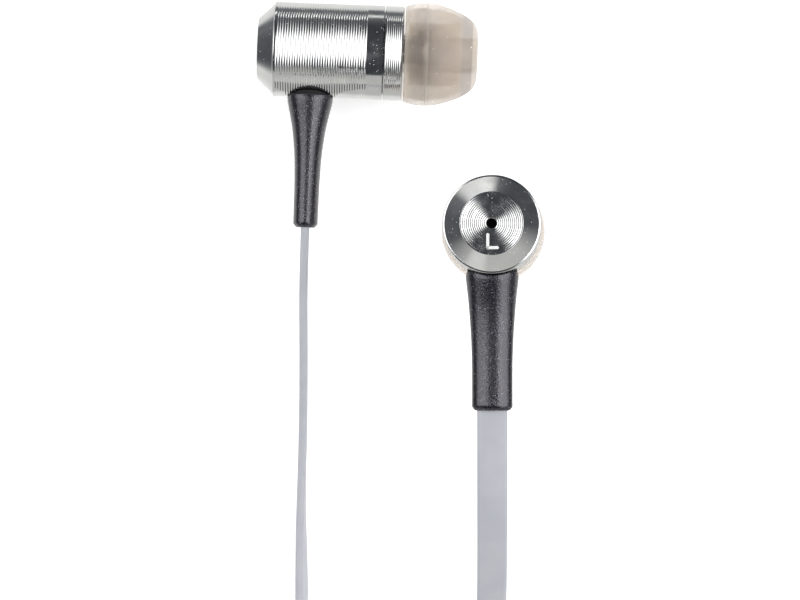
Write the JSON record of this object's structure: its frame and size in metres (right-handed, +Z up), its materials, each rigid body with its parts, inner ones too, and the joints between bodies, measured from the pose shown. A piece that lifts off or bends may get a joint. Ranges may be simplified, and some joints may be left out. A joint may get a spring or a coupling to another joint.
{
  "type": "wired earphones",
  "caption": "In-ear wired earphones: turned aluminium shells, silicone ear tips, oval rubber strain reliefs, flat cable in a tied hank, Y-split and 3.5 mm plug.",
  "frame": {"origin": "on the table under the middle of the two earbuds (their box, without the cable)", "axes": "+Z up from the table; +X the way the right earbud's nozzle points; the cables run towards -Y"},
  "size_m": [0.0428, 0.1813, 0.0251],
  "materials": {
    "turned_aluminium": "fine lathe grooves, bright",
    "white_ink": "matt print",
    "silicone": "translucent, satin",
    "boot_rubber": "satin with fine metallic fleck",
    "cable_jacket": "satin TPE",
    "cloth": "woven damping cloth",
    "steel": "plated",
    "magnet": "nickel plated",
    "copper": "enamelled wire",
    "film": "clear film",
    "board": "solder mask",
    "black_plastic": "moulded",
    "contact_metal": "nickel plated"
  },
  "bodies": {
    "earphones": {"cable_hank": "cable_jacket", "cable_tie": "boot_rubber", "left_boot": "boot_rubber", "left_cable": "cable_jacket", "left_cable_knot": "cable_jacket", "left_cable_twist": "cable_jacket", "left_diaphragm_surround": "film", "left_driver_cover": "steel", "left_driver_frame": "black_plastic", "left_driver_magnet": "magnet", "left_driver_pole_plate": "steel", "left_driver_yoke": "steel", "left_front_shell": "turned_aluminium", "left_nozzle_mesh": "steel", "left_rear_shell": "turned_aluminium", "left_side_mark": "white_ink", "left_terminal_board": "board", "left_vent_cloth": "cloth", "main_cable": "cable_jacket", "plug_barrel": "turned_aluminium", "plug_boot": "boot_rubber", "plug_insulator_front": "black_plastic", "plug_insulator_rear": "black_plastic", "plug_ring": "contact_metal", "plug_sleeve": "contact_metal", "plug_tip": "contact_metal", "right_boot": "boot_rubber", "right_cable": "cable_jacket", "right_cable_knot": "cable_jacket", "right_diaphragm_surround": "film", "right_driver_cover": "steel", "right_driver_frame": "black_plastic", "right_driver_magnet": "magnet", "right_driver_pole_plate": "steel", "right_driver_yoke": "steel", "right_front_shell": "turned_aluminium", "right_nozzle_mesh": "steel", "right_rear_shell": "turned_aluminium", "right_side_mark": "white_ink", "right_terminal_board": "board", "right_vent_cloth": "cloth", "y_split": "boot_rubber"},
    "right_tip": {"right_ear_tip": "silicone"},
    "left_tip": {"left_ear_tip": "silicone"},
    "right_cone": {"right_voice_coil": "copper", "right_diaphragm": "film"},
    "left_cone": {"left_voice_coil": "copper", "left_diaphragm": "film"}
  },
  "joints": [
    {"name": "right_tip_pull", "type": "slide", "parent": "earphones", "child": "right_tip", "axis": [0.9993, -0.0384, 0], "range_m": [0, 0.004]},
    {"name": "left_tip_pull", "type": "slide", "parent": "earphones", "child": "left_tip", "axis": [0.04, -0.025, -0.9989], "range_m": [0, 0.004]},
    {"name": "right_cone_stroke", "type": "slide", "parent": "earphones", "child": "right_cone", "axis": [0.9993, -0.0384, 0], "range_m": [-0.0002, 0.0002], "stiffness_N_per_m": 47},
    {"name": "left_cone_stroke", "type": "slide", "parent": "earphones", "child": "left_cone", "axis": [0.04, -0.025, -0.9989], "range_m": [-0.0002, 0.0002], "stiffness_N_per_m": 47}
  ]
}
